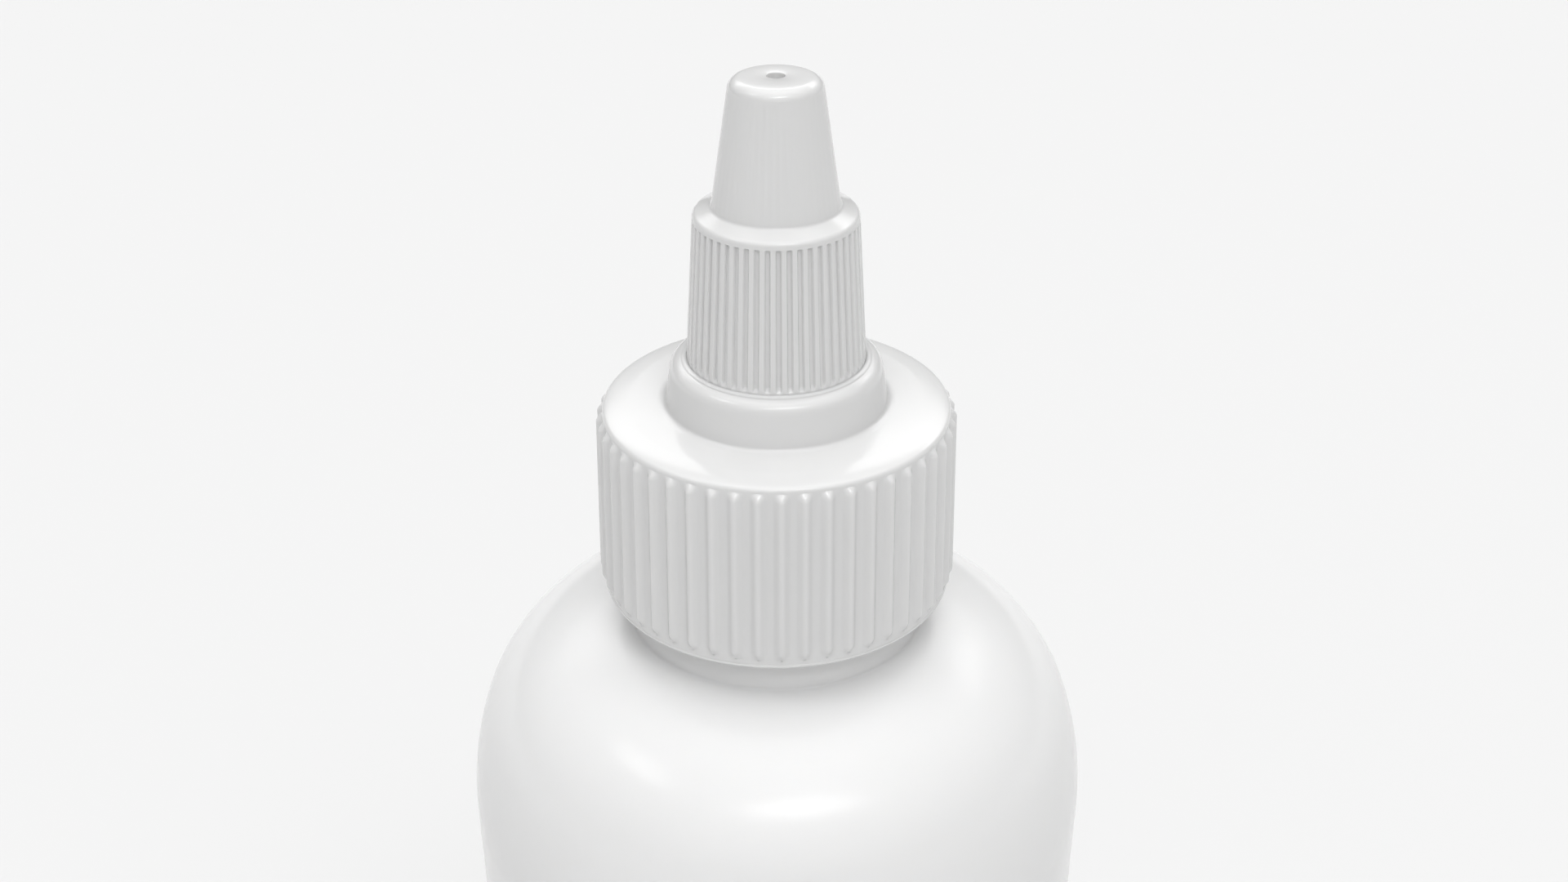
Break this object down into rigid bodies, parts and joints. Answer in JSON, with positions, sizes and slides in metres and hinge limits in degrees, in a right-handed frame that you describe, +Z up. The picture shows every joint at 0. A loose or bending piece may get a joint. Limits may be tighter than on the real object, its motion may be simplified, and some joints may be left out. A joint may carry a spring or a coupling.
{
  "type": "squeeze bottle with twist-open dispensing closure",
  "caption": "Round plastic squeeze bottle with a ribbed screw closure and a fluted twist-open spout that lifts off a sealing pin to dispense.",
  "frame": {"origin": "centre of the standing ring, on the surface the bottle stands on", "axes": "+Z up along the bottle's axis; one skirt rib points along -Y"},
  "size_m": [0.051, 0.051, 0.188],
  "materials": {
    "bottle_plastic": "satin white polyethylene",
    "closure_plastic": "glossy white polypropylene",
    "liner_foam": "matt white polyethylene foam",
    "seal_rubber": "matt translucent grey elastomer"
  },
  "bodies": {
    "bottle": {"bottle": "bottle_plastic"},
    "liner": {"liner": "liner_foam"},
    "closure_base": {"closure_base": "closure_plastic"},
    "seal_ring": {"seal_ring": "seal_rubber"},
    "spout": {"spout": "closure_plastic"}
  },
  "joints": [
    {"name": "closure_rise", "type": "slide", "parent": "bottle", "child": "liner", "axis": [0, 0, 1], "range_m": [0, 0.00445]},
    {"name": "closure_turn", "type": "hinge", "parent": "liner", "child": "closure_base", "pos_m": [0, 0, 0.16], "axis": [0, 0, 1], "range_deg": [0, 505]},
    {"name": "spout_rise", "type": "slide", "parent": "closure_base", "child": "seal_ring", "axis": [0, 0, 1], "range_m": [0, 0.0024]},
    {"name": "spout_turn", "type": "hinge", "parent": "seal_ring", "child": "spout", "pos_m": [0, 0, 0.175], "axis": [0, 0, 1], "range_deg": [0, 180]}
  ],
  "couplings": [
    {"joint": "closure_turn", "follows": "closure_rise", "rad_per_m": 1979},
    {"joint": "spout_turn", "follows": "spout_rise", "rad_per_m": 1309}
  ]
}
